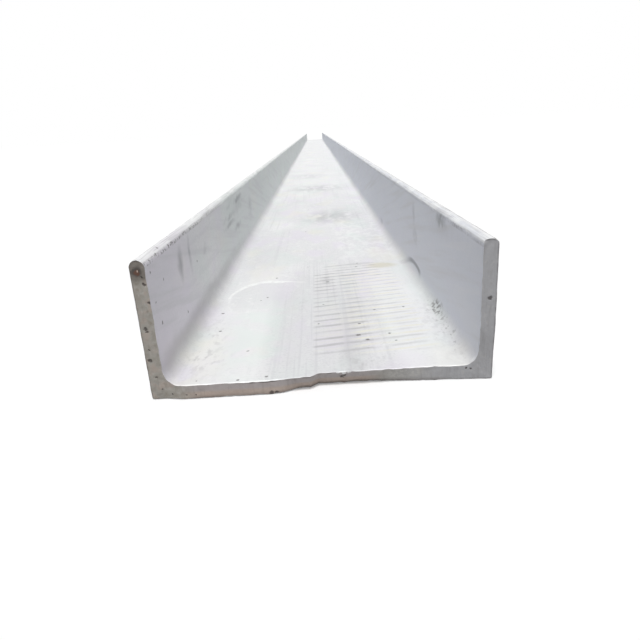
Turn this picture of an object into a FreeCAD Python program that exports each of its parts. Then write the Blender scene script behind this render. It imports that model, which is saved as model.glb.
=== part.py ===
"""A hot-rolled steel channel: one bar with a flat web and two parallel flanges.

The section is a wide, shallow U. The web lies flat on the ground with its square
outer corners down, and the two flanges stand up from its long edges. A fillet
fills the root where each flange meets the web, and the toe of each flange is
rounded on both edges. The bar is cut square at both ends to a stock length.

Frame: millimetres, +X across the web, +Y along the bar, +Z up the flanges. The
origin is the middle of the web's underside, halfway along the bar.
"""

import FreeCAD
import Part
import os
import Sketcher

PARTS_FOLDER = "parts"
DIMENSIONS_LABEL = "Dimensions"
EDGE_TOLERANCE = 1e-4

# Driving dimensions in millimetres: alias, value and what it measures.
DIMENSIONS = [
    ("section_depth", 180.0, "outer width across the two flanges"),
    ("flange_width", 75.0, "height of a flange above the web's underside"),
    ("web_thickness", 8.0, "thickness of the web"),
    ("flange_thickness", 8.0, "thickness of each flange"),
    ("root_radius", 8.0, "fillet between the web and a flange"),
    ("toe_radius", 3.2, "rounding on both edges of a flange's toe"),
    ("bar_length", 6000.0, "stock length of the bar"),
]

# Corners of the sharp U, counted from the web's lower left and going round to the right.
BOTTOM, RIGHT_OUTER, RIGHT_TOE, RIGHT_INNER, WEB_TOP, LEFT_INNER, LEFT_TOE, LEFT_OUTER = range(8)
START, END = 1, 2
VERTICAL_AXIS, HORIZONTAL_AXIS = -2, -1


def make_dimensions(doc):
    """Writes the driving dimensions to a spreadsheet and returns their values by alias."""
    sheet = doc.addObject("Spreadsheet::Sheet", DIMENSIONS_LABEL)
    for row, (alias, value, meaning) in enumerate(DIMENSIONS, start=1):
        sheet.set(f"A{row}", alias)
        sheet.set(f"B{row}", str(value))
        sheet.set(f"C{row}", meaning)
        sheet.setAlias(f"B{row}", alias)
    doc.recompute()
    return {alias: float(getattr(sheet, alias)) for alias, _, _ in DIMENSIONS}


def bind(feature, target, alias):
    """Ties one property or sketch constraint of a feature to a cell of the spreadsheet."""
    feature.setExpression(target, f"{DIMENSIONS_LABEL}.{alias}")


def origin_plane(body, role):
    """Returns one of the body's own origin planes by its role."""
    return next(f for f in body.Origin.OriginFeatures if f.Role == role)


def sharp_corners(size):
    """Corner points of the U before any rounding, in the order of the edge names."""
    half = size["section_depth"] / 2
    inner = half - size["flange_thickness"]
    toe = size["flange_width"]
    floor = size["web_thickness"]
    outline = [
        (-half, 0),
        (half, 0),
        (half, toe),
        (inner, toe),
        (inner, floor),
        (-inner, floor),
        (-inner, toe),
        (-half, toe),
    ]
    return [FreeCAD.Vector(x, z, 0) for x, z in outline]


def draw_section(body, size):
    """Sketches the sharp U-shaped section and constrains it fully to the spreadsheet."""
    sketch = body.newObject("Sketcher::SketchObject", "section_sketch")
    sketch.AttachmentSupport = (origin_plane(body, "XZ_Plane"), [""])
    sketch.MapMode = "FlatFace"

    corners = sharp_corners(size)
    count = len(corners)
    for edge in range(count):
        sketch.addGeometry(Part.LineSegment(corners[edge], corners[(edge + 1) % count]), False)
    for edge in range(count):
        following = (edge + 1) % count
        sketch.addConstraint(Sketcher.Constraint("Coincident", edge, END, following, START))

    for edge in (RIGHT_OUTER, RIGHT_INNER, LEFT_INNER, LEFT_OUTER):
        sketch.addConstraint(Sketcher.Constraint("Vertical", edge))
    for edge in (RIGHT_TOE, LEFT_TOE):
        sketch.addConstraint(Sketcher.Constraint("Horizontal", edge))
    for edge in (BOTTOM, WEB_TOP):
        sketch.addConstraint(
            Sketcher.Constraint("Symmetric", edge, START, edge, END, VERTICAL_AXIS)
        )
    sketch.addConstraint(Sketcher.Constraint("PointOnObject", BOTTOM, START, HORIZONTAL_AXIS))
    sketch.addConstraint(Sketcher.Constraint("Equal", RIGHT_OUTER, LEFT_OUTER))

    measured = {
        "section_depth": ("DistanceX", BOTTOM, START, BOTTOM, END),
        "flange_width": ("DistanceY", RIGHT_OUTER, START, RIGHT_OUTER, END),
        "web_thickness": ("DistanceY", BOTTOM, START, WEB_TOP, END),
        "flange_thickness": ("DistanceX", RIGHT_TOE, END, RIGHT_TOE, START),
    }
    for alias, points in measured.items():
        index = sketch.addConstraint(Sketcher.Constraint(*points, size[alias]))
        sketch.renameConstraint(index, alias)
        bind(sketch, f"Constraints.{alias}", alias)
    return sketch


def roll_bar(body, sketch):
    """Extrudes the section to the stock length, half of it each side of the origin."""
    bar = body.newObject("PartDesign::Pad", "rolled_bar")
    bar.Profile = sketch
    bar.SideType = "Symmetric"
    bind(bar, "Length", "bar_length")
    return bar


def lengthwise_edges(shape, places):
    """Names the edges that run along the bar at the given (x, z) places of the section."""
    names = []
    for number, edge in enumerate(shape.Edges, start=1):
        box = edge.BoundBox
        for x, z in places:
            on_x = max(abs(box.XMin - x), abs(box.XMax - x)) < EDGE_TOLERANCE
            on_z = max(abs(box.ZMin - z), abs(box.ZMax - z)) < EDGE_TOLERANCE
            if on_x and on_z:
                names.append(f"Edge{number}")
    if len(names) != len(places):
        raise RuntimeError(f"found {len(names)} edges along the bar, and needed {len(places)}")
    return names


def round_edges(body, base, name, places, radius_alias):
    """Fillets the lengthwise edges of a feature at the given places of the section."""
    fillet = body.newObject("PartDesign::Fillet", name)
    fillet.Base = (base, lengthwise_edges(base.Shape, places))
    bind(fillet, "Radius", radius_alias)
    return fillet


def make_channel(doc, size):
    """Builds the channel bar: padded section, root fillets, then rounded toes."""
    body = doc.addObject("PartDesign::Body", "channel_bar")
    body.Label = "channel_bar"
    sketch = draw_section(body, size)
    doc.recompute()
    bar = roll_bar(body, sketch)
    doc.recompute()

    half = size["section_depth"] / 2
    inner = half - size["flange_thickness"]
    floor = size["web_thickness"]
    toe = size["flange_width"]
    roots = round_edges(
        body, bar, "root_fillets", [(inner, floor), (-inner, floor)], "root_radius"
    )
    doc.recompute()
    toes = round_edges(
        body,
        roots,
        "toe_rounds",
        [(half, toe), (inner, toe), (-inner, toe), (-half, toe)],
        "toe_radius",
    )
    doc.recompute()
    body.Tip = toes
    body.Placement = FreeCAD.Placement()
    doc.recompute()
    if sketch.solve() != 0 or not sketch.FullyConstrained:
        raise RuntimeError("the section sketch isn't fully constrained")
    return body


def check_document(doc, sub_parts):
    """Stops the build if an object failed to recompute or a sub-part's shape isn't sound."""
    for item in doc.Objects:
        if {"Invalid", "Error"} & set(item.State):
            raise RuntimeError(f"{item.Label} failed to recompute: {item.State}")
    for part in sub_parts:
        if part.Shape.isNull() or not part.Shape.isValid():
            raise RuntimeError(f"{part.Label} has no valid shape")


def export(sub_parts):
    """Writes each sub-part to a STEP file named after its label."""
    os.makedirs(PARTS_FOLDER, exist_ok=True)
    for part in sub_parts:
        part.Shape.exportStep(os.path.join(PARTS_FOLDER, f"{part.Label}.step"))
        box = part.Shape.BoundBox
        print(
            f"{part.Label}: {box.XLength:.1f} x {box.YLength:.1f} x {box.ZLength:.1f} mm, "
            f"{part.Shape.Volume:.0f} mm3, {len(part.Shape.Solids)} solid"
        )


def main():
    """Makes the parametric document, checks it and writes the STEP file."""
    doc = FreeCAD.newDocument("steel_channel")
    size = make_dimensions(doc)
    sub_parts = [make_channel(doc, size)]
    check_document(doc, sub_parts)
    export(sub_parts)


main()
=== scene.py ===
"""Looks of a rolled steel channel: a pale pickled bar with torn, dull cut ends.

The bar is one mesh. Its section is carried along its length in rows that crowd together
at the ends, where the cut is ragged. One finish covers the rolled skin and another the cut
faces. Lengths are metres in the meshes, and millimetres from the near cut in the finishes.
"""

import logging
import math
from dataclasses import dataclass, field
from enum import Enum
from typing import Any, Sequence, Union

import bpy
import numpy as np
from mathutils import Euler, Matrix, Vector


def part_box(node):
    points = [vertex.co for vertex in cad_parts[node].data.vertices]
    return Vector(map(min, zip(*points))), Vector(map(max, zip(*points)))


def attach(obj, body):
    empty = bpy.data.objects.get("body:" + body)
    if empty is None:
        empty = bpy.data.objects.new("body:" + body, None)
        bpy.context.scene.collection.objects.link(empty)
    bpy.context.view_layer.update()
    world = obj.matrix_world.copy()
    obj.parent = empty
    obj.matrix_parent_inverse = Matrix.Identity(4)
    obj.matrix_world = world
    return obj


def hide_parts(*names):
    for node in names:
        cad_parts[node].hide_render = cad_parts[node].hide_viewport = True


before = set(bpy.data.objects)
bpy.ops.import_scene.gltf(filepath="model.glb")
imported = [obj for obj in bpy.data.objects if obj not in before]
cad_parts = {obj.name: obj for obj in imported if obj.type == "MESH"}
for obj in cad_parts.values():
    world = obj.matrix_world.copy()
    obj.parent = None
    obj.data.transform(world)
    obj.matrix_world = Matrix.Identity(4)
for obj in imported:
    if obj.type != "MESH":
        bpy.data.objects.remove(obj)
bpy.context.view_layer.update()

log = logging.getLogger("channel")

BAR_NODE = "channel_bar"
MM = 0.001
CUT_SET_BACK = 2.0 * MM  # how far the flanges' cut lies behind the bar's furthest point
LATTICE = 256  # values along each side of a rough field's lattice, which then repeats
SHARP_DEGREES = 38  # faces that meet at more than this show a sharp edge

# The flat map for baking: its margin, where the skin starts, and the strips of the two cuts.
MAP_MARGIN = 0.004
SKIN_FROM = 0.14
STRIPS_FROM = 0.02
STRIP_HEIGHT = 0.04
STRIP_PITCH = 0.055

Colour = tuple[float, float, float]


def tone(red: int, green: int, blue: int) -> Colour:
    """Turns a colour written as three screen levels from 0 to 255 into linear light.

    Args:
        red: Level of red.
        green: Level of green.
        blue: Level of blue.

    Returns:
        The linear colour: below 0.04045 a twelfth or so of the level, above it a power of 2.4.
    """
    levels = np.array([red, green, blue]) / 255
    linear = np.where(levels <= 0.04045, levels / 12.92, ((levels + 0.055) / 1.055) ** 2.4)
    return tuple(float(level) for level in linear)


# ---------------------------------------------------------------- shapes worked out with numpy


def smooth_step(value: np.ndarray, low: float, high: float) -> np.ndarray:
    """Rises from 0 at low to 1 at high as three times the square less twice the cube."""
    t = np.clip((value - low) / (high - low), 0, 1)
    return t * t * (3 - 2 * t)


def rough_field(u: np.ndarray, v: np.ndarray, cell: float, seed: int) -> np.ndarray:
    """Smooth random heights over a plane: lattice values blended across each cell.

    Args:
        u: First coordinate of every point.
        v: Second coordinate of every point.
        cell: Spacing of the lattice, in the same unit.
        seed: Seed of the lattice values.

    Returns:
        A height from -1 to 1 for every point. In a cell it is the blend of the four
        corner values, weighted by a smooth step along each side.
    """
    lattice = np.random.default_rng(seed).uniform(-1, 1, (LATTICE, LATTICE))
    i, j = np.floor(u / cell).astype(int), np.floor(v / cell).astype(int)
    a, b = u / cell - i, v / cell - j
    a, b = a * a * (3 - 2 * a), b * b * (3 - 2 * b)
    left, right = i % LATTICE, (i + 1) % LATTICE
    below, above = j % LATTICE, (j + 1) % LATTICE
    low = lattice[left, below] * (1 - a) + lattice[right, below] * a
    high = lattice[left, above] * (1 - a) + lattice[right, above] * a
    return low * (1 - b) + high * b


class Side(Enum):
    """The two flanges, by the sign of their place across the bar."""

    LEFT = -1
    RIGHT = 1


@dataclass(frozen=True)
class Toe:
    """Rounded free edge of a flange.

    Its outline is half a superellipse: across = half the wall times cos(a) to the power
    2/squareness, up = drop times sin(a) to the same power.
    """

    drop: float
    squareness: float


@dataclass(frozen=True)
class Section:
    """Section of the channel, as an outer and an inner chain of matched points."""

    half_width: float
    height: float
    wall: float = 8.0 * MM
    root_radius: float = 8.0 * MM
    corner_radius: float = 0.6 * MM
    left_toe: Toe = Toe(drop=3.9 * MM, squareness=2.05)
    right_toe: Toe = Toe(drop=3.3 * MM, squareness=2.7)
    toe_steps: int = 9
    flange_steps: int = 22
    corner_steps: int = 16
    web_steps: int = 74

    @property
    def corner_span(self) -> float:
        """Length of the zone at each lower corner that the root fillet takes up."""
        return self.wall + self.root_radius

    def _toe(self, toe: Toe) -> tuple[np.ndarray, np.ndarray]:
        """Chains of one toe, from its tip down to where it meets the walls.

        Args:
            toe: Shape of the flange's toe.

        Returns:
            The outer and the inner chain.
        """
        angle = np.linspace(math.pi / 2, 0, self.toe_steps + 1)
        reach = self.wall / 2 * np.abs(np.cos(angle)) ** (2 / toe.squareness)
        reach[0] = 0.0
        up = self.height - toe.drop + toe.drop * np.sin(angle) ** (2 / toe.squareness)
        middle = self.half_width - self.wall / 2
        return np.stack([middle + reach, up], 1), np.stack([middle - reach, up], 1)

    def _corner(self) -> tuple[np.ndarray, np.ndarray]:
        """Chains of one lower corner: a rounded L outside and the root fillet inside.

        The outer chain runs down the wall, round a quarter circle and in along the
        underside. The inner chain is a quarter circle about the fillet's centre.

        Returns:
            The outer and the inner chain.
        """
        share = np.linspace(0, 1, self.corner_steps + 1)
        straight = self.corner_span - self.corner_radius
        arc = self.corner_radius * math.pi / 2
        travel = np.interp(share, [0, 0.38, 0.62, 1], [0, straight, straight + arc, 2 * straight + arc])
        turn = np.clip((travel - straight) / self.corner_radius, 0, math.pi / 2)
        down = np.clip(straight - travel, 0, None)
        inward = np.clip(travel - straight - arc, 0, None)
        outer_x = self.half_width - self.corner_radius * (1 - np.cos(turn)) - inward
        outer_z = self.corner_radius * (1 - np.sin(turn)) + down
        angle = share * math.pi / 2
        inner_x = self.half_width - self.corner_span + self.root_radius * np.cos(angle)
        inner_z = self.corner_span - self.root_radius * np.sin(angle)
        return np.stack([outer_x, outer_z], 1), np.stack([inner_x, inner_z], 1)

    def _flange(self, toe: Toe) -> tuple[np.ndarray, np.ndarray]:
        """Chains of the right flange, from its tip to the end of its root fillet.

        Args:
            toe: Shape of the flange's toe.

        Returns:
            The outer and the inner chain.
        """
        up = np.linspace(self.height - toe.drop, self.corner_span, self.flange_steps + 1)[1:-1]
        outer_wall = np.stack([np.full_like(up, self.half_width), up], 1)
        inner_wall = outer_wall - [self.wall, 0]
        (toe_out, toe_in), (corner_out, corner_in) = self._toe(toe), self._corner()
        return (
            np.concatenate([toe_out, outer_wall, corner_out]),
            np.concatenate([toe_in, inner_wall, corner_in]),
        )

    def chains(self) -> tuple[np.ndarray, np.ndarray]:
        """Works out the whole section from the left toe's tip to the right toe's tip.

        Returns:
            The outer and the inner chain, as many points each, in metres across and up.
            The first points are the same, and so are the last.
        """
        edge = self.half_width - self.corner_span
        across = np.linspace(-edge, edge, self.web_steps + 1)[1:-1]
        web_out = np.stack([across, np.zeros_like(across)], 1)
        web_in = np.stack([across, np.full_like(across, self.wall)], 1)
        mirror = np.array([Side.LEFT.value, 1])
        left, right = self._flange(self.left_toe), self._flange(self.right_toe)
        outer = np.concatenate([left[0] * mirror, web_out, right[0][::-1]])
        inner = np.concatenate([left[1] * mirror, web_in, right[1][::-1]])
        return outer, inner


@dataclass(frozen=True)
class NearCut:
    """Shape of the near cut, made from two sides that meet badly in the middle of the web.

    The left half stands proud. At the meeting place the face steps back, and it comes
    forward again towards the right flange. The lower edge of the middle is torn further
    back, so the face there leans.
    """

    proud: float = 2.0 * MM
    meeting: float = -4.0 * MM
    meeting_width: float = 5.0 * MM
    right_step: float = 3.6 * MM
    lean: float = 3.4 * MM
    lean_from: float = -22.0 * MM
    lean_to: float = 62.0 * MM
    grain: float = 0.22 * MM

    def depth(self, x: np.ndarray, z: np.ndarray, wall: float) -> np.ndarray:
        """How far each point of the cut lies behind the bar's furthest point.

        Args:
            x: Places across the bar.
            z: Heights above the web's underside.
            wall: Thickness of the web.

        Returns:
            Depths in metres. Each is the flanges' set-back, less the proud left half of the
            web, plus the right step and the lean of the middle, plus a rough grain.
        """
        in_web = 1 - smooth_step(z, 1.1 * wall, 4.0 * wall)
        left = smooth_step(-x, self.meeting_width, 6 * self.meeting_width)
        left *= 1 - smooth_step(-x, 70 * MM, 84 * MM)
        after = smooth_step(x, self.meeting - self.meeting_width / 2, self.meeting + self.meeting_width / 2)
        right = after * (1 - 0.55 * smooth_step(x, 55 * MM, 92 * MM))
        middle = smooth_step(x, self.lean_from, self.lean_from + 12 * MM)
        middle *= 1 - smooth_step(x, 20 * MM, self.lean_to)
        low = 1 - np.clip(z / wall, 0, 1)
        rough = rough_field(x, z, 1.3 * MM, 3) + 0.8 * rough_field(x, z, 5.1 * MM, 4)
        depth = CUT_SET_BACK - in_web * left * self.proud + in_web * right * self.right_step
        depth += in_web * middle * low * self.lean + self.grain * rough
        return np.clip(depth, 0, None)


@dataclass(frozen=True)
class FarCut:
    """Shape of the far cut, a plain one with only a rough grain."""

    grain: float = 0.25 * MM

    def depth(self, x: np.ndarray, z: np.ndarray, wall: float) -> np.ndarray:
        """Depths behind the bar's furthest point: the grain alone, never negative."""
        return self.grain * (1 + rough_field(x + wall, z, 2.1 * MM, 8))


@dataclass
class ChannelBar:
    """The bar itself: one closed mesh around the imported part's box."""

    low: Vector
    high: Vector
    near_cut: NearCut = NearCut()
    far_cut: FarCut = FarCut()
    rib_steps: int = 8
    cut_fade: float = 45.0 * MM
    burr: float = 0.3 * MM
    nick_depth: float = 0.7 * MM
    near_zone: float = 320.0 * MM
    finest: float = 220.0 * MM
    section: Section = field(init=False)

    def __post_init__(self) -> None:
        """Fits the section to the box."""
        self.section = Section((self.high.x - self.low.x) / 2, self.high.z - self.low.z)

    def _rows(self) -> np.ndarray:
        """Distances of the rows from the near end.

        They stand close at both ends, evenly through the near zone, and ever wider beyond
        it, where the distance grows as an even share of the rest to the power 1.8.

        Returns:
            The distances in metres, from the near end on.
        """
        length = self.high.y - self.low.y
        tight = np.array([0, 0.5, 1.2, 2.2, 3.5, 5, 7, 9, 12, 15]) * MM
        near = np.linspace(tight[-1], self.near_zone, 84)[1:]
        share = np.linspace(0, 1, 56)[1:-1]
        far = self.near_zone + (length - tight[-1] - self.near_zone) * share**1.8
        return np.concatenate([tight, near, far, length - tight[::-1]])

    def _nicks(self, ring: np.ndarray, rows: np.ndarray) -> np.ndarray:
        """Share of the nick depth at each point: peaks of a rough field, on the toes' edges.

        Args:
            ring: Outline of the section, as points across and up.
            rows: Distances of the rows from the near end.

        Returns:
            The share by row and point, from 0 to 1.
        """
        zone = smooth_step(ring[:, 1], self.section.height - 5.5 * MM, self.section.height - 2.5 * MM)
        zone *= 1 - smooth_step(ring[:, 1], self.section.height - 0.5 * MM, self.section.height)
        place = np.broadcast_to(rows[:, None], (len(rows), len(ring)))
        around = np.broadcast_to(ring[:, 0] * 3, place.shape)
        peaks = smooth_step(rough_field(place, around, 5.2 * MM, 21), 0.45, 0.95)
        return peaks * zone

    def _skin(self, outer: np.ndarray, inner: np.ndarray) -> np.ndarray:
        """Points of the rolled skin, row by row.

        Each row is the section's outline. Its place along the bar is the row's distance
        plus the depth of the cut, which fades out over a short length at each end. The
        points next to a cut are pulled towards the middle of the wall by the burr, and
        those on the toes' edges by the nicks.

        Args:
            outer: Outer chain of the section.
            inner: Inner chain of the section.

        Returns:
            The points by row and place round the section.
        """
        ring = np.concatenate([outer, inner[-2:0:-1]])
        partner = np.concatenate([inner, outer[-2:0:-1]])
        pull = (partner - ring) / np.maximum(np.linalg.norm(partner - ring, axis=1), 1e-9)[:, None]
        rows, length = self._rows(), self.high.y - self.low.y
        wall = self.section.wall
        near = 1 - smooth_step(rows, 0, self.cut_fade)
        far = smooth_step(rows, length - self.cut_fade, length)
        place = rows[:, None] + near[:, None] * self.near_cut.depth(ring[:, 0], ring[:, 1], wall)
        place = place - far[:, None] * self.far_cut.depth(ring[:, 0], ring[:, 1], wall)
        inward = self.nick_depth * self._nicks(ring, rows)
        ragged = 1 + 0.9 * rough_field(ring[:, 0], ring[:, 1], 2.4 * MM, 5)
        inward[[0, -1]] += self.burr * ragged
        flat = ring[None] + inward[..., None] * pull[None]
        return np.stack([flat[..., 0], self.low.y + place, self.low.z + flat[..., 1]], -1)

    def _cap(self, edge: np.ndarray, count: int, cut: Union[NearCut, FarCut], end: float) -> np.ndarray:
        """Points of a cut face inside its edge.

        Each rib runs straight from an outer point to its inner partner. A point along it
        has the cut's own depth, and its share of the rib.

        Args:
            edge: Points of the skin's row at this end.
            count: Points in one chain of the section.
            cut: Shape of the cut.
            end: Place along the bar of the box's own end.

        Returns:
            The points by place along the rib and by rib.
        """
        outer, inner = edge[1 : count - 1], edge[: count - 1 : -1]
        share = np.linspace(0, 1, self.rib_steps + 1)[1:-1, None, None]
        points = outer * (1 - share) + inner * share
        depth = cut.depth(points[..., 0], points[..., 2] - self.low.z, self.section.wall)
        points[..., 1] = end + depth if end < 0 else end - depth
        return points

    def build(self) -> bpy.types.Object:
        """Makes the bar's mesh, with the rolled skin as material 0 and the cuts as 1.

        Returns:
            The finished object, at the origin, with its place in its mesh.
        """
        outer, inner = self.section.chains()
        count, ring = len(outer), 2 * len(outer) - 2
        skin = self._skin(outer, inner)
        rows = len(skin)
        caps = [
            self._cap(skin[0], count, self.near_cut, self.low.y),
            self._cap(skin[-1], count, self.far_cut, self.high.y),
        ]
        points = np.concatenate([skin.reshape(-1, 3)] + [cap.reshape(-1, 3) for cap in caps])

        here = np.arange(rows * ring).reshape(rows, ring)
        after = np.roll(here, -1, axis=1)
        quads = np.stack([here[:-1], here[1:], after[1:], after[:-1]], -1).reshape(-1, 4)
        faces: list[list[int]] = quads.tolist()
        skin_faces = len(faces)
        for index, row in enumerate((0, rows - 1)):
            first = rows * ring + index * caps[0][..., 0].size
            faces += self._cap_faces(here[row], count, first, turned=row > 0)

        mesh = bpy.data.meshes.new(BAR_NODE + "_finished")
        mesh.from_pydata(points.tolist(), [], faces)
        self._lay_flat(mesh, outer, inner, skin_faces)
        worn = np.ones(len(faces), np.int32)
        worn[:skin_faces] = 0
        mesh.polygons.foreach_set("material_index", worn)
        mesh.polygons.foreach_set("use_smooth", np.ones(len(faces), bool))
        mesh.set_sharp_from_angle(angle=math.radians(SHARP_DEGREES))
        mesh.validate()
        mesh.update()
        bar = bpy.data.objects.new(BAR_NODE + "_finished", mesh)
        bpy.context.scene.collection.objects.link(bar)
        return bar

    def _lay_flat(self, mesh: bpy.types.Mesh, outer: np.ndarray, inner: np.ndarray, skin_faces: int) -> None:
        """Gives the mesh a flat map for baking that has more room near the near cut.

        The skin is unrolled: the distance round the section goes across, and upwards goes
        the logarithm of 1 plus the distance along the bar over the finest stretch. Each cut
        is a strip below it, with the distance along the section across it.

        Args:
            mesh: The bar's mesh.
            outer: Outer chain of the section.
            inner: Inner chain of the section.
            skin_faces: How many faces the skin has. They come first.
        """
        ring, count = np.concatenate([outer, inner[-2:0:-1]]), len(outer)
        rows = self._rows()
        round_it = np.cumsum(np.linalg.norm(np.diff(np.concatenate([ring, ring[:1]]), axis=0), axis=1))
        width = 1 - 2 * MAP_MARGIN
        u = 1 - MAP_MARGIN - width * np.concatenate([[0], round_it]) / round_it[-1]
        share = np.log1p(rows / self.finest) / np.log1p(rows[-1] / self.finest)
        v = SKIN_FROM + (1 - MAP_MARGIN - SKIN_FROM) * share
        i, j = np.divmod(np.arange(skin_faces), len(ring))
        skin = np.stack([u[np.stack([j, j, j + 1, j + 1], 1)], v[np.stack([i, i + 1, i + 1, i], 1)]], -1)

        middle = (outer + inner) / 2
        run = np.concatenate([[0], np.cumsum(np.linalg.norm(np.diff(middle, axis=0), axis=1))])
        run = MAP_MARGIN + width * run / run[-1]
        table = np.zeros((len(mesh.vertices), 2))
        corners = np.empty(len(mesh.loops), np.int64)
        mesh.loops.foreach_get("vertex_index", corners)
        caps, places = corners[4 * skin_faces :], []
        ribs = (self.rib_steps - 1) * (count - 2)
        for index, row in enumerate((0, len(rows) - 1)):
            low = STRIPS_FROM + STRIP_PITCH * index
            edge = row * len(ring) + np.arange(len(ring))
            table[edge[:count]] = np.stack([run, np.full(count, low)], 1)
            table[edge[count:]] = np.stack([run[-2:0:-1], np.full(count - 2, low + STRIP_HEIGHT)], 1)
            table[edge[[0, count - 1]], 1] = low + STRIP_HEIGHT / 2
            height = low + STRIP_HEIGHT * np.arange(1, self.rib_steps) / self.rib_steps
            grid = np.stack(np.meshgrid(run[1:-1], height), -1).reshape(-1, 2)
            first = len(rows) * len(ring) + index * ribs
            table[first : first + ribs] = grid
            place = table[caps[index * len(caps) // 2 : (index + 1) * len(caps) // 2]]
            places.append(place * [-1, 1] + [1, 0] if row else place)
        layer = mesh.uv_layers.new(name="OFBake")
        flat = np.concatenate([skin.reshape(-1, 2)] + places)
        layer.data.foreach_set("uv", flat.ravel().astype(np.float32))

    def _cap_faces(self, edge: np.ndarray, count: int, first: int, turned: bool) -> list[list[int]]:
        """Faces of one cut: quads between ribs, and a fan of triangles at each toe's tip.

        Args:
            edge: Indices of the section's outline at this end.
            count: Points in one chain of the section.
            first: Index of the cut's first inner point.
            turned: Whether the faces look towards the far end.

        Returns:
            The corner indices of every face.
        """
        inside = first + np.arange((self.rib_steps - 1) * (count - 2)).reshape(self.rib_steps - 1, count - 2)
        grid = np.concatenate([edge[None, 1 : count - 1], inside, edge[None, : count - 1 : -1]])
        quads = np.stack([grid[:-1, :-1], grid[:-1, 1:], grid[1:, 1:], grid[1:, :-1]], -1).reshape(-1, 4)
        steps = len(grid) - 1
        start = np.stack([np.full(steps, edge[0]), grid[:-1, 0], grid[1:, 0]], -1)
        finish = np.stack([np.full(steps, edge[count - 1]), grid[1:, -1], grid[:-1, -1]], -1)
        if turned:
            quads, start, finish = quads[:, ::-1], start[:, ::-1], finish[:, ::-1]
        return quads.tolist() + start.tolist() + finish.tolist()


# ---------------------------------------------------------------- shader maths

# Numbers of the Mix node's sockets when it mixes colours.
MIX_SHARE, MIX_UNDER, MIX_OVER, MIX_RESULT = 0, 6, 7, 2


class Value:
    """A number that a node works out, on which Python's operators add Math nodes."""

    def __init__(self, recipe: "Recipe", socket: bpy.types.NodeSocket) -> None:
        """Wraps one output of a recipe's nodes."""
        self.recipe = recipe
        self.socket = socket

    def __add__(self, other: "Number") -> "Value":
        """Sum."""
        return self.recipe.maths("ADD", self, other)

    def __radd__(self, other: "Number") -> "Value":
        """Sum, with the number first."""
        return self.recipe.maths("ADD", other, self)

    def __sub__(self, other: "Number") -> "Value":
        """Difference."""
        return self.recipe.maths("SUBTRACT", self, other)

    def __rsub__(self, other: "Number") -> "Value":
        """Difference, with the number first."""
        return self.recipe.maths("SUBTRACT", other, self)

    def __mul__(self, other: "Number") -> "Value":
        """Product."""
        return self.recipe.maths("MULTIPLY", self, other)

    def __rmul__(self, other: "Number") -> "Value":
        """Product, with the number first."""
        return self.recipe.maths("MULTIPLY", other, self)

    def __truediv__(self, other: "Number") -> "Value":
        """Quotient."""
        return self.recipe.maths("DIVIDE", self, other)

    def __pow__(self, other: "Number") -> "Value":
        """Power."""
        return self.recipe.maths("POWER", self, other)

    def at_least(self, other: "Number") -> "Value":
        """The larger of the two."""
        return self.recipe.maths("MAXIMUM", self, other)

    def at_most(self, other: "Number") -> "Value":
        """The smaller of the two."""
        return self.recipe.maths("MINIMUM", self, other)

    def size(self) -> "Value":
        """The number without its sign."""
        return self.recipe.maths("ABSOLUTE", self)

    def step(self, low: float, high: float) -> "Value":
        """Goes smoothly from 0 at low to 1 at high, where low may be the larger."""
        node = self.recipe.node(
            "ShaderNodeMapRange",
            {"interpolation_type": "SMOOTHSTEP"},
            {"Value": self, "From Min": low, "From Max": high},
        )
        return Value(self.recipe, node.outputs["Result"])

    def within(self, low: float, high: float, soft: float) -> "Value":
        """1 between low and high, and 0 beyond them by more than soft."""
        return self.step(low - soft, low) * self.step(high + soft, high)


Number = Union[Value, float]
Owner = Union[bpy.types.Material, bpy.types.World]


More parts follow.
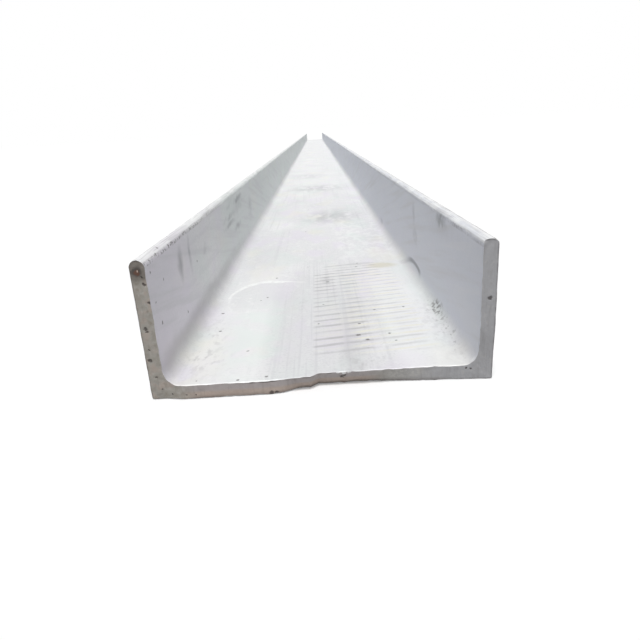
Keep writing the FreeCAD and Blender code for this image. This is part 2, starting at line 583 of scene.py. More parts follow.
class Recipe:
    """A new material, or a new world, and the nodes that it is made of."""

    def __init__(self, owner: Owner) -> None:
        """Empties the owner's nodes, so that they can be made afresh."""
        self.owner = owner
        self.owner.use_nodes = True
        self.tree = self.owner.node_tree
        self.tree.nodes.clear()

    def node(self, kind: str, settings: dict[str, Any], inputs: dict[Any, Any]) -> bpy.types.Node:
        """Adds a node of any type.

        Args:
            kind: Its Blender type.
            settings: Properties, which are set first.
            inputs: A number, colour, Value or socket for each named or numbered input.

        Returns:
            The node.
        """
        node = self.tree.nodes.new(kind)
        for name, setting in settings.items():
            setattr(node, name, setting)
        for key, given in inputs.items():
            source = given.socket if isinstance(given, Value) else given
            if isinstance(source, bpy.types.NodeSocket):
                self.tree.links.new(source, node.inputs[key])
            else:
                node.inputs[key].default_value = source
        return node

    def maths(self, operation: str, *values: Number) -> Value:
        """Adds a Math node for an operation on one or two numbers."""
        node = self.node("ShaderNodeMath", {"operation": operation}, dict(enumerate(values)))
        return Value(self, node.outputs[0])

    def vector(self, operation: str, *values: Any) -> bpy.types.NodeSocket:
        """Adds a Vector Math node for an operation on two vectors."""
        node = self.node("ShaderNodeVectorMath", {"operation": operation}, dict(enumerate(values)))
        return node.outputs["Vector"]

    def distance(self, place: bpy.types.NodeSocket, point: Sequence[float]) -> Value:
        """Distance from a place to a fixed point."""
        node = self.node("ShaderNodeVectorMath", {"operation": "DISTANCE"}, {0: place, 1: point})
        return Value(self, node.outputs["Value"])

    def noise(self, place: bpy.types.NodeSocket, period: float, detail: float = 2.0) -> Value:
        """Cloudy noise about 0.5 whose blobs are about one period across."""
        node = self.node(
            "ShaderNodeTexNoise", {}, {"Vector": place, "Scale": 1 / period, "Detail": detail}
        )
        return Value(self, node.outputs[0])

    def cells(self, place: bpy.types.NodeSocket, period: float) -> tuple[Value, Value]:
        """Scattered points about one period apart.

        Returns:
            The distance from the nearest point, as a share of the period, and a random
            number that is that point's own.
        """
        node = self.node("ShaderNodeTexVoronoi", {}, {"Vector": place, "Scale": 1 / period})
        parts = self.node("ShaderNodeSeparateColor", {}, {0: node.outputs["Color"]})
        return Value(self, node.outputs["Distance"]), Value(self, parts.outputs[0])

    def layer(self, under: Any, over: Any, share: Number) -> bpy.types.NodeSocket:
        """Lays one colour over another.

        Args:
            under: The lower colour, or a socket that gives it.
            over: The upper colour, or a socket that gives it.
            share: How much of the upper one shows, from 0 to 1.

        Returns:
            The socket that gives the mixed colour.
        """
        given: dict[int, Any] = {MIX_SHARE: share}
        for key, colour in ((MIX_UNDER, under), (MIX_OVER, over)):
            given[key] = colour if isinstance(colour, bpy.types.NodeSocket) else (*colour, 1)
        return self.node("ShaderNodeMix", {"data_type": "RGBA"}, given).outputs[MIX_RESULT]

    def finish(self, colour: Any, roughness: Value, height: Value, metallic: float) -> bpy.types.Material:
        """Closes the recipe with a metal shader.

        Args:
            colour: Base colour.
            roughness: Roughness from 0 to 1.
            height: Relief in millimetres.
            metallic: Share of metal in the surface, the same all over.

        Returns:
            The material.
        """
        bump = self.node("ShaderNodeBump", {}, {"Strength": 1.0, "Distance": MM, "Height": height})
        shader = self.node(
            "ShaderNodeBsdfPrincipled",
            {},
            {
                "Base Color": colour,
                "Metallic": metallic,
                "Roughness": roughness,
                "Normal": bump.outputs["Normal"],
            },
        )
        self.node("ShaderNodeOutputMaterial", {}, {"Surface": shader.outputs[0]})
        return self.owner


@dataclass(frozen=True)
class Spot:
    """A small mark, by its place in millimetres and its radius."""

    across: float
    along: float
    up: float
    radius: float = 1.0


@dataclass(frozen=True)
class Smudge:
    """A soft stain: an ellipsoid in millimetres whose middle lies on the surface."""

    centre: tuple[float, float, float]
    reach: tuple[float, float, float]
    strength: float


class Surroundings:
    """Where a point of the bar is, in millimetres from the near cut, the middle and the floor."""

    def __init__(self, recipe: Recipe, bar: ChannelBar) -> None:
        """Adds the nodes that turn Object coordinates into millimetres."""
        self.recipe = recipe
        start = bar.low.y + CUT_SET_BACK
        place = recipe.node("ShaderNodeTexCoord", {}, {}).outputs["Object"]
        shifted = recipe.vector("SUBTRACT", place, (0.0, start, bar.low.z))
        self.place = recipe.vector("MULTIPLY", shifted, (1 / MM,) * 3)
        parts = recipe.node("ShaderNodeSeparateXYZ", {}, {0: self.place})
        self.across, self.along, self.up = (Value(recipe, socket) for socket in parts.outputs)

    def stretched(self, across: float, along: float, up: float) -> bpy.types.NodeSocket:
        """The place with each axis multiplied, so that noise comes out as streaks."""
        return self.recipe.vector("MULTIPLY", self.place, (across, along, up))

    def slanted(self, climb: float, shrink: float) -> bpy.types.NodeSocket:
        """The place with its height raised by climb times its length, and its length shrunk.

        Noise on it comes out as long streaks that sink away from the near end.
        """
        parts = {"X": self.across, "Y": self.along * shrink, "Z": self.up + self.along * climb}
        return self.recipe.node("ShaderNodeCombineXYZ", {}, parts).outputs[0]

    def shaken(self, amount: float, period: float) -> bpy.types.NodeSocket:
        """The place moved at random by up to half the amount, so that outlines wander.

        Args:
            amount: Twice the furthest that a place moves, in millimetres.
            period: How far apart the bends are, in millimetres.

        Returns:
            The moved place.
        """
        node = self.recipe.node("ShaderNodeTexNoise", {}, {"Vector": self.place, "Scale": 1 / period})
        centred = self.recipe.vector("SUBTRACT", node.outputs["Color"], (0.5, 0.5, 0.5))
        moved = self.recipe.vector("MULTIPLY", centred, (amount,) * 3)
        return self.recipe.vector("ADD", self.place, moved)

    def spots(self, place: bpy.types.NodeSocket, spots: Sequence[Spot], flat: bool = False) -> Value:
        """Mask of a set of spots: 1 inside each, 0 outside.

        Args:
            place: The place to measure from.
            spots: The spots.
            flat: Whether their places along the bar are left out, as on a cut face.

        Returns:
            The mask, from the least distance to a spot as a share of its radius.
        """
        if flat:
            place = self.recipe.vector("MULTIPLY", place, (1.0, 0.0, 1.0))
        nearest: Number = 9.0
        for spot in spots:
            share = self.recipe.distance(place, (spot.across, spot.along, spot.up)) / spot.radius
            nearest = share.at_most(nearest)
        return nearest.step(1.25, 0.55)

    def smudges(self, place: bpy.types.NodeSocket, smudges: Sequence[Smudge]) -> Value:
        """Sum of a set of soft stains, each falling off smoothly from its middle to its reach.

        Args:
            place: The place to measure from.
            smudges: The stains.

        Returns:
            The sum, which can be more than 1.
        """
        total: Number = 0.0
        for smudge in smudges:
            shifted = self.recipe.vector("SUBTRACT", place, smudge.centre)
            inverse = tuple(1 / reach for reach in smudge.reach)
            scaled = self.recipe.vector("MULTIPLY", shifted, inverse)
            total = self.recipe.distance(scaled, (0, 0, 0)).step(1.0, 0.1) * smudge.strength + total
        return total


# ---------------------------------------------------------------- finishes


@dataclass(frozen=True)
class RolledSkin:
    """Pale pickled mill surface, with the marks of rolling, handling and acid, and painted light: highlights
    on the toes, cool light on the right flange, shade on the flanges and the left root, and a web that
    brightens further off.
    """

    name: str = "pickled_steel"
    pale: Colour = tone(226, 226, 227)
    shade: Colour = tone(204, 204, 207)
    # Bright tone for mottles and clean patches, also used for the painted highlight on the toes and the
    # painted light far along the web.
    bright: Colour = tone(247, 248, 247)
    lilac: Colour = tone(225, 218, 231)
    green: Colour = tone(216, 227, 222)
    cream: Colour = tone(233, 230, 214)
    # Painted cool light: bluish tint for the right flange, whose inner face looks towards the cooler light
    # from the left.
    blue: Colour = tone(214, 218, 230)
    # Dark grey for dirt, specks and scale, also used for the painted shade line along the toes.
    dirt: Colour = tone(92, 88, 87)
    mark: Colour = tone(160, 158, 159)
    slate: Colour = tone(122, 125, 130)
    moss: Colour = tone(104, 110, 106)
    ochre: Colour = tone(206, 200, 176)
    metallic: float = 0.25
    web_specks: tuple[Spot, ...] = (
        Spot(-36.4, 204, 8, 1.1),
        Spot(-40, 147, 8, 1.0),
        Spot(-44.5, 140, 8, 0.7),
        Spot(-69.6, 114, 8, 1.1),
        Spot(-65.6, 77, 8, 1.2),
        Spot(-43, 40, 8, 0.7),
        Spot(-29, 3.2, 8, 1.0),
        Spot(-44, 0.6, 8, 0.8),
        Spot(23.6, 55.4, 8, 1.6),
        Spot(28.6, 47, 8, 1.4),
        Spot(25.8, 75.6, 8, 1.2),
        Spot(38.4, 102, 8, 0.9),
        Spot(59, 105, 8, 0.9),
        Spot(42.8, 55.2, 8, 1.1),
        Spot(45.4, 43, 8, 0.9),
        Spot(34.6, 227, 8, 1.2),
        Spot(36.4, 241, 8, 0.9),
        Spot(3, 121, 8, 0.9),
        Spot(-0.6, 80, 8, 0.8),
        Spot(7.4, 182, 8, 1.4),
        Spot(-66, 2.6, 8, 0.6),
    )
    flange_specks: tuple[Spot, ...] = (
        Spot(-82, 27, 58, 0.8),
        Spot(-82, 13.0, 38, 1.3),
        Spot(-82, 67, 26, 1.1),
        Spot(-82, 7, 67, 0.8),
        Spot(-82, 8, 51, 0.7),
        Spot(-83, 22, 72.5, 1.0),
        Spot(-83, 47, 72.4, 1.1),
        Spot(-84, 31, 74.5, 0.9),
        Spot(-87, 62, 74.5, 1.1),
        Spot(83, 22, 72.6, 0.9),
        Spot(89, 34, 73.2, 1.0),
        Spot(82, 120, 11, 1.0),
    )
    stains: tuple[Smudge, ...] = (
        Smudge((-82, 66, 57), (3, 9, 15), 0.75),
        Smudge((-82, 92, 58), (3, 5.5, 18), 0.62),
        Smudge((-82, 140, 50), (3, 12, 5), 0.45),
        Smudge((-82, 262, 48), (3, 48, 4), 0.65),
        Smudge((-82, 262, 54.5), (3, 48, 4), 0.6),
        Smudge((-82, 318, 38), (3, 42, 5.5), 0.55),
        Smudge((-82, 312, 65), (3, 80, 5), 0.75),
        Smudge((-82, 330, 58), (3, 85, 12), 0.3),
        Smudge((-82, 432, 43), (3, 26, 20), 0.4),
        Smudge((82, 215, 30), (3, 12, 5), 0.5),
        Smudge((82, 190, 40), (3, 15, 10), 0.4),
        Smudge((82, 197, 58), (3, 10, 12), 0.35),
        Smudge((82, 430, 14), (3, 24, 6), 0.35),
        Smudge((7, 185, 8), (5, 18, 3), 0.3),
        Smudge((20, 535, 8), (60, 90, 3), 0.5),
        Smudge((0, 930, 8), (90, 100, 3), 0.48),
        Smudge((-20, 1250, 8), (70, 120, 3), 0.3),
    )
    # Grime, and painted shade: the first and fifth smudges darken the left root fillet and the low left
    # flange.
    grime: tuple[Smudge, ...] = (
        Smudge((-80, 90, 15), (9, 260, 13), 0.3),
        Smudge((-82, 20, 34), (3, 55, 40), 0.06),
        Smudge((82, 95, 66), (3, 70, 12), 0.12),
        Smudge((19, 30, 8), (11, 75, 3), 0.22),
        Smudge((-83, 150, 18), (5, 420, 8), 0.2),
        Smudge((38, 238, 8), (26, 8, 3), 0.3),
    )

    @staticmethod
    def _web(where: Surroundings) -> Value:
        """Mask of the web's upper face, with its root fillets left out."""
        return where.up.step(9.6, 8.4) * where.up.step(6.5, 7.2)

    def _tones(self, recipe: Recipe, where: Surroundings) -> bpy.types.NodeSocket:
        """Pale ground: broad clouds, lengthwise streaks of rolling and a fine grain.

        Args:
            recipe: Recipe that the nodes go into.
            where: Places on the bar.

        Returns:
            The colour of the ground.
        """
        clouds = recipe.noise(where.stretched(1, 0.45, 1), 48, 3)
        colour = recipe.layer(self.pale, self.shade, clouds.step(0.5, 0.78) * 0.5)
        colour = recipe.layer(colour, self.bright, clouds.step(0.5, 0.26) * 0.4)
        streaks = recipe.noise(where.stretched(1, 0.02, 1), 4.6, 3)
        colour = recipe.layer(colour, self.shade, streaks.step(0.54, 0.74) * 0.4)
        mottle = recipe.noise(where.stretched(1, 0.55, 1), 5.5, 4)
        colour = recipe.layer(colour, self.bright, mottle.step(0.52, 0.7) * 0.26)
        grain = recipe.noise(where.place, 1.5, 4)
        return recipe.layer(colour, self.shade, grain.step(0.48, 0.72) * 0.55)

    def _casts(self, recipe: Recipe, where: Surroundings, colour: Any) -> bpy.types.NodeSocket:
        """Faint casts of colour: patches all over and each side's own tint, where the right flange's blue is
        painted cool light.

        Args:
            recipe: Recipe that the nodes go into.
            where: Places on the bar.
            colour: The colour so far.

        Returns:
            The colour with the casts on it.
        """
        hue = recipe.noise(where.stretched(1, 0.5, 1), 30, 2)
        other = recipe.noise(where.stretched(1, 0.5, 1), 43, 2)
        colour = recipe.layer(colour, self.lilac, hue.step(0.52, 0.66) * 0.38)
        colour = recipe.layer(colour, self.green, hue.step(0.48, 0.34) * 0.3)
        colour = recipe.layer(colour, self.cream, other.step(0.55, 0.7) * 0.3)
        # Painted cool light on the right flange, mostly on its inner face.
        right = where.across.step(60, 82) * where.across.step(88.5, 84) * where.up.step(8, 18)
        colour = recipe.layer(colour, self.blue, right * 0.75)
        left = where.across.step(-74, -82) * where.across.step(-88.5, -84) * where.up.step(10, 20)
        colour = recipe.layer(colour, self.green, left * where.along.step(140, 300) * 0.5)
        colour = recipe.layer(colour, self.lilac, left * where.along.step(130, 40) * 0.6)
        spread = where.smudges(where.shaken(18, 26), (Smudge((-42, 70, 8), (30, 110, 4), 0.8),))
        colour = recipe.layer(colour, self.green, spread.at_most(0.7))
        spread = where.smudges(where.shaken(18, 26), (Smudge((-66, 22, 8), (20, 80, 4), 0.5),))
        return recipe.layer(colour, self.cream, spread.at_most(0.3))

    def _web_wear(self, recipe: Recipe, where: Surroundings, colour: Any) -> bpy.types.NodeSocket:
        """The web's tones: dull along its middle, bright to each side near the cut, and painted light that
        brightens it further from the near cut.

        Args:
            recipe: Recipe that the nodes go into.
            where: Places on the bar.
            colour: The colour so far.

        Returns:
            The colour with the web's tones on it.
        """
        web = self._web(where)
        near = where.along.step(330, 120)
        wander = where.across + (recipe.noise(where.stretched(0.3, 1, 1), 60, 2) - 0.5) * 12
        dull = wander.within(-18, 24, 12) * web * near
        colour = recipe.layer(colour, self.shade, dull * 0.3)
        # Painted light: the web is made brighter from 500 to 1100 mm beyond the near cut, where the light
        # looks stronger further off.
        far = where.along.step(500, 1100) * web
        colour = recipe.layer(colour, self.bright, far * 0.3)
        clean = (wander.within(-66, -40, 12) + wander.within(50, 66, 14)) * web * near
        colour = recipe.layer(colour, self.bright, clean * 0.45)
        fine = recipe.noise(where.stretched(1, 0.012, 1), 1.9, 2).step(0.5, 0.64)
        ruled = fine * where.across.within(-16, 26, 9) * where.along.step(300, 190) * web
        colour = recipe.layer(colour, self.shade, ruled * 0.42)
        patch = wander.within(26, 72, 12) * where.along.within(300, 450, 60) * web
        blotches = recipe.noise(where.stretched(1, 0.5, 1), 7, 4).step(0.48, 0.6)
        return recipe.layer(colour, self.bright, patch * blotches * 0.28)

    def _chatter(self, recipe: Recipe, where: Surroundings) -> tuple[Value, Value]:
        """Comb of crosswise marks on the web, closer together further in.

        The count of marks grows with the place along the bar as along/12.2 plus a little
        of its square, and each mark climbs by about a sixth of its length to the right.

        Args:
            recipe: Recipe that the nodes go into.
            where: Places on the bar.

        Returns:
            How dark the marks are, and how bright the ridges between them are.
        """
        shake = (recipe.noise(where.stretched(0.35, 1, 1), 11, 2) - 0.5) * 4.0
        run = where.along - where.across * 0.17 + shake
        turns = run / 12.2 + run * run * 6.3e-5
        phase = recipe.maths("FRACT", turns)
        line = phase.within(0.4, 0.46, 0.2)
        ridge = phase.within(0.86, 0.9, 0.22)
        length = where.along.within(31, 205, 7) * self._web(where)
        left = where.across.within(-2, 12, 3.5)
        right = where.across.within(22, 60, 8)
        between = where.across.within(8, 28, 5)
        top = where.along.within(196, 236, 6) * where.across.within(8, 50, 6) * self._web(where)
        broken = recipe.noise(where.stretched(0.3, 1, 1), 6, 3).step(0.3, 0.62)
        uneven = recipe.noise(where.stretched(1, 0.8, 1), 26, 2).step(0.28, 0.62) * 0.7 + 0.3
        share = (left * 0.52 + right * uneven * 0.36 + between * 0.24).at_most(0.56) * length + top * 0.5
        side = where.across.within(26, 62, 10) * length
        return line * share * (broken * 0.75 + 0.25), ridge * (share * 0.25 + side * broken * 0.5)

    def _tide_mark(self, recipe: Recipe, where: Surroundings) -> tuple[Value, Value]:
        """Bright curved edge of a dried splash on the left of the web.

        The edge is an ellipse's, whose right half is drawn out: the square root of the
        summed squares of the distances from its middle, each over its reach, is 1 on it.

        Args:
            recipe: Recipe that the nodes go into.
            where: Places on the bar.

        Returns:
            Masks of the bright edge with its wisps and of the stain inside it.
        """
        web = self._web(where)
        shake = (recipe.noise(where.place, 12, 3) - 0.5) * 9
        aside = where.across + 44.5 + shake * 0.6
        further = where.along - 147 + shake
        reach = aside.at_most(0.0) / 25.5 + aside.at_least(0.0) / 66
        share = (reach * reach + further * further / 2025) ** 0.5
        drawn = where.along.step(126, 164) * where.across.step(-21, -33) * web
        feather = recipe.noise(where.place, 3.0, 3).step(0.26, 0.56)
        thick = where.across.within(-58, -36, 10) * 0.05 + 0.06
        edge = (1.0 - (share - 1.0).size() / thick).at_least(0.0) * 1.7
        edge = edge.at_most(1.0) * drawn * feather
        faint = (share - 1.0).size().step(0.06, 0.01) * where.across.within(-24, -16, 7) * web * 0.4
        faint = faint * where.along.step(150, 160)
        wisps = where.smudges(
            where.shaken(14, 12),
            (
                Smudge((-53, 152, 8), (5, 30, 3), 0.9),
                Smudge((-50, 116, 8), (7, 22, 3), 0.7),
                Smudge((-64, 132, 8), (4, 40, 3), 0.6),
            ),
        )
        wisps = wisps * recipe.noise(where.stretched(1, 0.7, 1), 4.5, 3).step(0.46, 0.62)
        inside = share.step(1.0, 0.86) * where.along.step(96, 150) * where.across.step(-18, -34) * web
        return (edge + faint + wisps * 0.9).at_most(1.0), inside

    def _crescent(self, where: Surroundings) -> Value:
        """Dark curved scrape low on the right flange: the upper band of an ellipse.

        Args:
            where: Places on the bar.

        Returns:
            The scrape's mask.
        """
        further = (where.along - 190) / 45
        above = (where.up - 4) / 13.2
        share = (further * further + above * above) ** 0.5
        band = (share - 1.0).size().step(0.22, 0.04)
        band = band * where.along.within(172, 236, 12) * (where.along.step(232, 204) * 0.8 + 0.2)
        return band * where.across.step(72, 78) * where.up.step(7.8, 8.6)

    def _toes(self, recipe: Recipe, where: Surroundings) -> tuple[Value, Value, Value]:
        """Marks and painted light on the toes: dark broken edges with a painted shade line along them, a
        painted highlight on the tops, and fine lengthwise scratches.

        Args:
            recipe: Recipe that the nodes go into.
            where: Places on the bar.

        Returns:
            Masks of the dark edges (chips and painted shade), of the painted highlight on the tops and of
            the scratches on them.
        """
        side = where.across.size()
        top = where.up.step(72.2, 73.8)
        near = where.along.step(230, 20) * 0.85 + 0.12
        crumbs = recipe.noise(where.stretched(1, 0.6, 1), 1.6, 3).step(0.5, 0.6)
        patches = recipe.noise(where.stretched(1, 0.3, 1), 10, 2).step(0.34, 0.56)
        inner = where.up.within(71.4, 72.8, 0.8) * side.step(86.6, 85.6)
        outer = side.within(87.7, 88.4, 0.35) * where.up.step(71.5, 72.6)
        # Painted shade: a broken lengthwise line along the inner and outer edge of each toe, beside the
        # painted highlight on its top.
        run = recipe.noise(where.stretched(1, 0.06, 1), 2.2, 2).step(0.36, 0.6)
        left = where.across.step(10, -10) * 0.6 + 0.3
        dark = inner * (crumbs * patches * near * left + run * 0.22)
        dark = dark + outer * (crumbs * patches * 0.6 + run * 0.45)
        # Painted highlight on the toes' tops, in patches.
        worn = recipe.noise(where.stretched(1, 0.3, 1), 7, 4).step(0.42, 0.62)
        scratches = recipe.noise(where.stretched(1.4, 0.035, 1.4), 1.5, 3).step(0.46, 0.68) * top
        return dark.at_most(1.0), top * (worn * 0.6 + 0.3), scratches

    def _scale(self, recipe: Recipe, where: Surroundings) -> tuple[Value, Value]:
        """Rough dark scale in the right root, and a thin grey bloom in patches on the web.

        Args:
            recipe: Recipe that the nodes go into.
            where: Places on the bar.

        Returns:
            Masks of the scale and of the bloom.
        """
        patch = where.smudges(where.shaken(10, 7), (Smudge((80, 92, 10), (7, 20, 8), 1.0),))
        trail = where.smudges(where.shaken(14, 12), (Smudge((79, 66, 9), (6, 76, 6), 0.62),))
        bloom = where.smudges(
            where.shaken(14, 12),
            (
                Smudge((-70, 58, 8), (17, 70, 5), 0.8),
                Smudge((-64, 26, 8), (22, 32, 5), 0.5),
                Smudge((20, 12, 8), (22, 26, 4), 0.8),
                Smudge((-13, 128, 8), (9, 40, 4), 0.5),
                Smudge((72, 66, 8), (14, 90, 6), 0.6),
            ),
        )
        crumbs = recipe.noise(where.stretched(1, 0.6, 1), 2.3, 4)
        soft = recipe.noise(where.stretched(1, 0.5, 1), 3.4, 3).step(0.48, 0.64)
        return patch * crumbs.step(0.42, 0.56) + trail * crumbs.step(0.53, 0.64), bloom * soft

    def material(self, bar: ChannelBar) -> bpy.types.Material:
        """Builds the finish of the rolled skin.

        Args:
            bar: The bar that wears it.

        Returns:
            The material, on Object coordinates.
        """
        recipe = Recipe(bpy.data.materials.new(self.name))
        where = Surroundings(recipe, bar)
        colour = self._tones(recipe, where)
        colour = self._casts(recipe, where, colour)
        colour = self._web_wear(recipe, where, colour)

        # Flanges: dark streaks that sink away from the near cut, and painted shade, strongest near the near
        # cut and fading between 400 and 1000 mm.
        walls = where.across.size().step(78, 82) * where.up.step(12, 24)
        slant = recipe.noise(where.slanted(0.19, 0.05), 6.0, 3)
        nearby = where.along.step(1000, 400) * 0.16 + 0.02
        colour = recipe.layer(colour, self.shade, walls * (slant.step(0.48, 0.72) * 0.4 + nearby))
        colour = recipe.layer(colour, self.pale, walls * slant.step(0.44, 0.3) * 0.2)
        # Grime, with painted shade along the left root.
        grime = where.smudges(where.shaken(8, 20), self.grime)
        colour = recipe.layer(colour, self.mark, grime.at_most(0.7))
        wisps = recipe.noise(where.stretched(1, 0.35, 0.6), 13, 3).step(0.3, 0.56)
        stains = where.smudges(where.shaken(9, 16), self.stains) * wisps
        colour = recipe.layer(colour, self.slate, (stains * 0.7).at_most(0.7))
        moss = where.smudges(where.shaken(10, 9), (Smudge((82, 95, 69), (3, 20, 7), 0.9),))
        colour = recipe.layer(colour, self.moss, moss * wisps * 0.6)
        ochre = where.smudges(where.shaken(7, 10), (Smudge((57, 228, 8), (20, 15, 4), 1.0),))
        colour = recipe.layer(colour, self.ochre, (ochre * 1.3).at_most(1.0) * 0.6)
        colour = recipe.layer(colour, self.slate, self._crescent(where) * 0.7)

        edge, inside = self._tide_mark(recipe, where)
        colour = recipe.layer(colour, self.shade, inside * 0.3)
        dark, ridge = self._chatter(recipe, where)
        colour = recipe.layer(colour, self.mark, dark)
        colour = recipe.layer(colour, self.cream, ridge)
        colour = recipe.layer(colour, self.bright, edge * 0.9)

        lines, tops, scratches = self._toes(recipe, where)
        # Painted highlight on the toes' tops.
        colour = recipe.layer(colour, self.bright, tops * 0.75)
        colour = recipe.layer(colour, self.mark, scratches * 0.38)
        # Chipped toe edges, with a painted shade line along them.
        colour = recipe.layer(colour, self.dirt, lines * 0.8)
        scale, bloom = self._scale(recipe, where)
        colour = recipe.layer(colour, self.dirt, scale.at_most(1.0) * 0.6)
        colour = recipe.layer(colour, self.mark, bloom * 0.3)

        near_dots = where.spots(where.shaken(1.6, 1.8), self.web_specks + self.flange_specks)
        gap, chance = recipe.cells(where.stretched(1, 0.8, 1), 34)
        strewn = gap.step(0.036, 0.018) * chance.step(0.5, 0.52)
        specks = near_dots.at_least(strewn)
        colour = recipe.layer(colour, self.dirt, specks * 0.8)
        lip = where.spots(where.shaken(3, 2.5), (Spot(11.5, 1.0, 8, 3.4), Spot(16, 0.5, 8, 1.8)))
        colour = recipe.layer(colour, self.bright, lip)

        clouds = recipe.noise(where.stretched(1, 0.3, 1), 20, 3)
        roughness = 0.5 + clouds * 0.16 + scale * 0.12 + dark * 0.1
        fine = recipe.noise(where.place, 1.1, 3) * 0.06 + recipe.noise(where.place, 6, 2) * 0.14
        rolled = recipe.noise(where.stretched(1, 0.03, 1), 3.4, 2) * 0.05
        height = fine + rolled + ridge * 0.14 - dark * 0.14 - scale * 0.14 - specks * 0.15 - lines * 0.12
        return recipe.finish(colour, roughness, height, self.metallic)


@dataclass(frozen=True)
class CutFace:
    """Dull face of a cut, with score lines, pits, tinted patches, one rust spot and a painted highlight on
    the burr at the web's top edge.
    """

    name: str = "cut_steel"
    ground: Colour = tone(183, 180, 174)
    cool: Colour = tone(181, 181, 184)
    warm: Colour = tone(199, 181, 170)
    mauve: Colour = tone(188, 180, 182)
    brown: Colour = tone(146, 137, 124)
    light: Colour = tone(206, 204, 200)
    dark: Colour = tone(110, 102, 96)
    pit: Colour = tone(62, 56, 53)
    rust: Colour = tone(112, 76, 60)
    glint: Colour = tone(214, 196, 184)
    # Painted highlight: near white for the burr along the web's upper cut edge, where it catches the light.
    torn: Colour = tone(252, 252, 252)
    metallic: float = 0.25
    pits: tuple[Spot, ...] = (
        Spot(-83.9, 0, 62.6, 0.9),
        Spot(-84.2, 0, 66.8, 0.7),
        Spot(-82.6, 0, 53.3, 0.9),
        Spot(-87.1, 0, 39.6, 1.0),
        Spot(-86.4, 0, 38.0, 0.8),
        Spot(-86.9, 0, 28.3, 0.5),
        Spot(-87.4, 0, 22.3, 1.0),
        Spot(-85.6, 0, 12.7, 0.6),
        Spot(-83.6, 0, 5.9, 0.45),
        Spot(-78.6, 0, 2.9, 0.5),
        Spot(-71.0, 0, 2.6, 0.5),
        Spot(-66.0, 0, 2.2, 0.5),
        Spot(-26.4, 0, 0.7, 1.2),
        Spot(-23.6, 0, 0.9, 1.2),
        Spot(11.0, 0, 4.6, 1.1),
        Spot(12.4, 0, 5.6, 0.7),
        Spot(76.4, 0, 6.1, 0.5),
        Spot(78.5, 0, 6.0, 0.5),
        Spot(86.7, 0, 45.1, 1.2),
    )
    # Burr along the web's upper cut edge, which gets the painted highlight.
    burrs: tuple[Spot, ...] = (
        Spot(9.0, 0, 7.6, 0.9),
        Spot(12.2, 0, 7.2, 1.5),
        Spot(14.8, 0, 7.6, 1.1),
        Spot(18.5, 0, 7.9, 0.6),
    )

    def material(self, bar: ChannelBar) -> bpy.types.Material:
        """Builds the finish of the cut faces.

        Args:
            bar: The bar that wears it.

        Returns:
            The material, on Object coordinates.
        """
        recipe = Recipe(bpy.data.materials.new(self.name))
        where = Surroundings(recipe, bar)
        near = where.along.step(200, 100)
        blots = recipe.noise(where.place, 5, 5)
        mottle = recipe.noise(where.place, 2.6, 3)
        colour = recipe.layer(self.ground, self.cool, where.across.step(20, 70))
        left = where.across.step(30, -70)
        colour = recipe.layer(colour, self.warm, blots.step(0.46, 0.66) * left * 0.5)
        colour = recipe.layer(colour, self.brown, (blots.step(0.54, 0.34) * 0.35 + 0.15) * left)
        colour = recipe.layer(colour, self.brown, mottle.step(0.54, 0.7) * (left * 0.4 + 0.1))
        colour = recipe.layer(colour, self.light, mottle.step(0.46, 0.3) * 0.3)
        middle = where.across.within(-62, 20, 16)
        colour = recipe.layer(colour, self.mauve, middle * where.up.within(4.5, 7.4, 1.5) * 0.7)
        colour = recipe.layer(colour, self.warm, middle * where.up.step(5.0, 3.0) * 0.75)
        crown = where.across.step(-76, -80) * where.up.step(62.5, 66.5)
        colour = recipe.layer(colour, self.dark, crown * (mottle * 0.5 + 0.45))
        fold = where.up.within(7.0, 7.5, 0.35) * where.across.within(-40, 4, 8)
        colour = recipe.layer(colour, self.pit, fold * blots.step(0.36, 0.6) * 0.6)
        smear = where.across.within(38, 50, 6) * where.up.within(3, 8, 1) * mottle.step(0.4, 0.55)
        colour = recipe.layer(colour, self.light, smear * 0.6)

        lower = where.up.step(2.4, 0.3) * where.across.within(-62, 60, 12)
        colour = recipe.layer(colour, self.dark, lower * 0.45)
        score = recipe.noise(where.stretched(1, 1, 0.14), 1.5, 2)
        colour = recipe.layer(colour, self.dark, score.step(0.5, 0.75) * 0.16)
        rim = where.across.size().step(88.8, 89.8).at_least(where.up.step(0.9, 0.1))
        rim = rim.at_least(where.up.step(73.6, 74.8))
        colour = recipe.layer(colour, self.pit, rim * (blots.step(0.3, 0.6) * 0.5 + 0.1))

        place = where.shaken(2.2, 2.0)
        bruise = where.spots(place, (Spot(-86.6, 0, 69.2, 2.7),), flat=True) * near
        colour = recipe.layer(colour, self.pit, bruise * 0.75)
        rust = where.spots(place, (Spot(-86.3, 0, 68.7, 1.5),), flat=True) * near
        colour = recipe.layer(colour, self.rust, rust * 0.8)
        glint = where.spots(place, (Spot(-86.0, 0, 69.3, 0.5),), flat=True) * near
        colour = recipe.layer(colour, self.glint, glint)
        pits = where.spots(place, self.pits, flat=True) * near
        colour = recipe.layer(colour, self.pit, pits * 0.8)
        # Painted highlight on the burr along the top of the web's cut face.
        lip = where.spots(where.shaken(2.0, 1.6), self.burrs, flat=True) * near
        colour = recipe.layer(colour, self.torn, lip)

        roughness = 0.55 + blots * 0.18
        height = score * 0.14 + mottle * 0.16 + recipe.noise(where.place, 1.2, 3) * 0.14
        return recipe.finish(colour, roughness, height - pits * 0.3 - bruise * 0.12, self.metallic)


# ---------------------------------------------------------------- studio


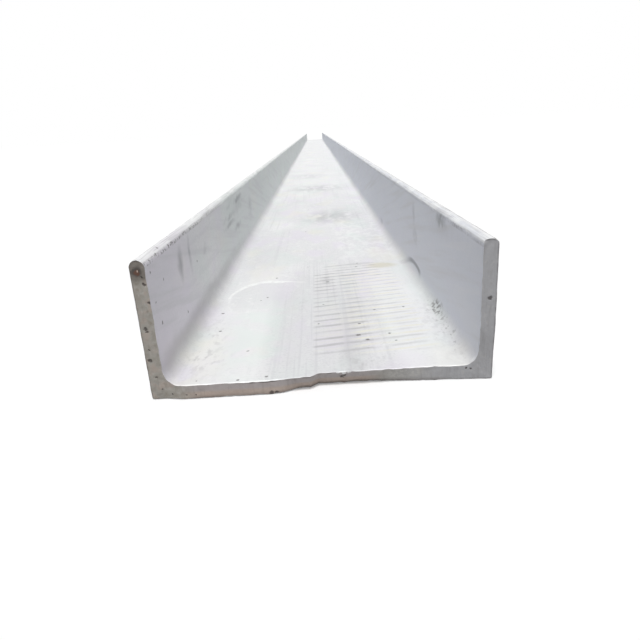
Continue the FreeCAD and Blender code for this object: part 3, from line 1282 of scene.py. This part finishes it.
@dataclass(frozen=True)
class Studio:
    """Pale floor, even surroundings and one broad soft light from above."""

    floor_reach: float = 60.0
    floor_gap: float = 0.2 * MM
    sky: float = 0.3
    lamp_strength: float = 2.2
    lamp_spread: float = 16.0
    lamp_tilt: float = 12.0
    floor_seen: float = 0.86
    floor_lift: float = 0.165
    floor_bounce: float = 0.45

    def _seen(self, recipe: Recipe) -> Value:
        """1 for rays that show the background: from the camera, a reflection or through glass."""
        path = recipe.node("ShaderNodeLightPath", {}, {})
        names = ("Is Camera Ray", "Is Glossy Ray", "Is Transmission Ray")
        camera, glossy, through = (Value(recipe, path.outputs[name]) for name in names)
        return camera.at_least(glossy).at_least(through)

    def _floor(self, low: Vector) -> None:
        """Lays the floor just under the bar. It looks white and bounces less light than that.

        Args:
            low: Lowest corner of the bar.
        """
        reach = self.floor_reach
        height = low.z - self.floor_gap
        outline = ((-reach, -reach), (reach, -reach), (reach, reach), (-reach, reach))
        corners = [(x, y, height) for x, y in outline]
        mesh = bpy.data.meshes.new("floor")
        mesh.from_pydata(corners, [], [(0, 1, 2, 3)])
        floor = bpy.data.objects.new("floor", mesh)
        bpy.context.scene.collection.objects.link(floor)
        recipe = Recipe(bpy.data.materials.new("floor"))
        bounce = recipe.node("ShaderNodeBsdfDiffuse", {}, {"Color": (*(self.floor_bounce,) * 3, 1)})
        white = recipe.node("ShaderNodeBsdfDiffuse", {}, {"Color": (*(self.floor_seen,) * 3, 1)})
        lift = recipe.node("ShaderNodeEmission", {}, {"Strength": self.floor_lift})
        shown = recipe.node("ShaderNodeAddShader", {}, {0: white.outputs[0], 1: lift.outputs[0]})
        given = {"Fac": self._seen(recipe), 1: bounce.outputs[0], 2: shown.outputs[0]}
        mixed = recipe.node("ShaderNodeMixShader", {}, given)
        recipe.node("ShaderNodeOutputMaterial", {}, {"Surface": mixed.outputs[0]})
        mesh.materials.append(recipe.owner)

    def _surroundings(self) -> None:
        """Sets a plain world that looks white and lights the bar less than that."""
        world = bpy.data.worlds.new("surroundings")
        bpy.context.scene.world = world
        recipe = Recipe(world)
        strength = self._seen(recipe) * (1 - self.sky) + self.sky
        back = recipe.node("ShaderNodeBackground", {}, {"Color": (1, 1, 1, 1), "Strength": strength})
        recipe.node("ShaderNodeOutputWorld", {}, {"Surface": back.outputs[0]})

    def _lamp(self) -> None:
        """Sets the soft light nearly overhead, leaning towards the near end so that it grazes the cut."""
        data = bpy.data.lights.new("soft_light", "SUN")
        data.energy = self.lamp_strength
        data.angle = math.radians(self.lamp_spread)
        lamp = bpy.data.objects.new("soft_light", data)
        lamp.rotation_euler = (math.radians(self.lamp_tilt), 0, 0)
        bpy.context.scene.collection.objects.link(lamp)

    def build(self, low: Vector) -> None:
        """Sets up everything round the bar."""
        self._floor(low)
        self._surroundings()
        self._lamp()


@dataclass(frozen=True)
class Viewpoint:
    """Camera close behind the near end, looking down along the bar."""

    aside: float = 4.3 * MM
    behind: float = 256.2 * MM
    above: float = 130.1 * MM
    tilt: float = 70.50
    lean: float = 3.477
    turn: float = -0.551
    lens: float = 30.604
    film: float = 36.0
    nearest: float = 10 * MM

    def build(self, low: Vector) -> None:
        """Makes the camera and sets it as the scene's.

        Args:
            low: Lowest corner of the bar. The camera's place is measured from its near end.
        """
        data = bpy.data.cameras.new("camera")
        data.lens, data.sensor_width = self.lens, self.film
        data.clip_start = self.nearest
        camera = bpy.data.objects.new("camera", data)
        camera.location = (self.aside, low.y - self.behind, low.z + self.above)
        turns = (math.radians(angle) for angle in (self.tilt, self.lean, self.turn))
        camera.rotation_euler = Euler(turns, "XYZ")
        bpy.context.scene.collection.objects.link(camera)
        bpy.context.scene.camera = camera


def main() -> None:
    """Builds the bar, dresses it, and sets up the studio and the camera."""
    logging.basicConfig(level=logging.INFO, format="%(message)s")
    bpy.context.scene.view_settings.view_transform = "Standard"
    low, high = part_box(BAR_NODE)
    bar = ChannelBar(low, high)
    piece = bar.build()
    piece.data.materials.append(RolledSkin().material(bar))
    piece.data.materials.append(CutFace().material(bar))
    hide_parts(BAR_NODE)
    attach(piece, "root")
    log.info("%s: %d points, %d faces", piece.name, len(piece.data.vertices), len(piece.data.polygons))

    Studio().build(low)
    Viewpoint().build(low)


if __name__ == "__main__":
    main()
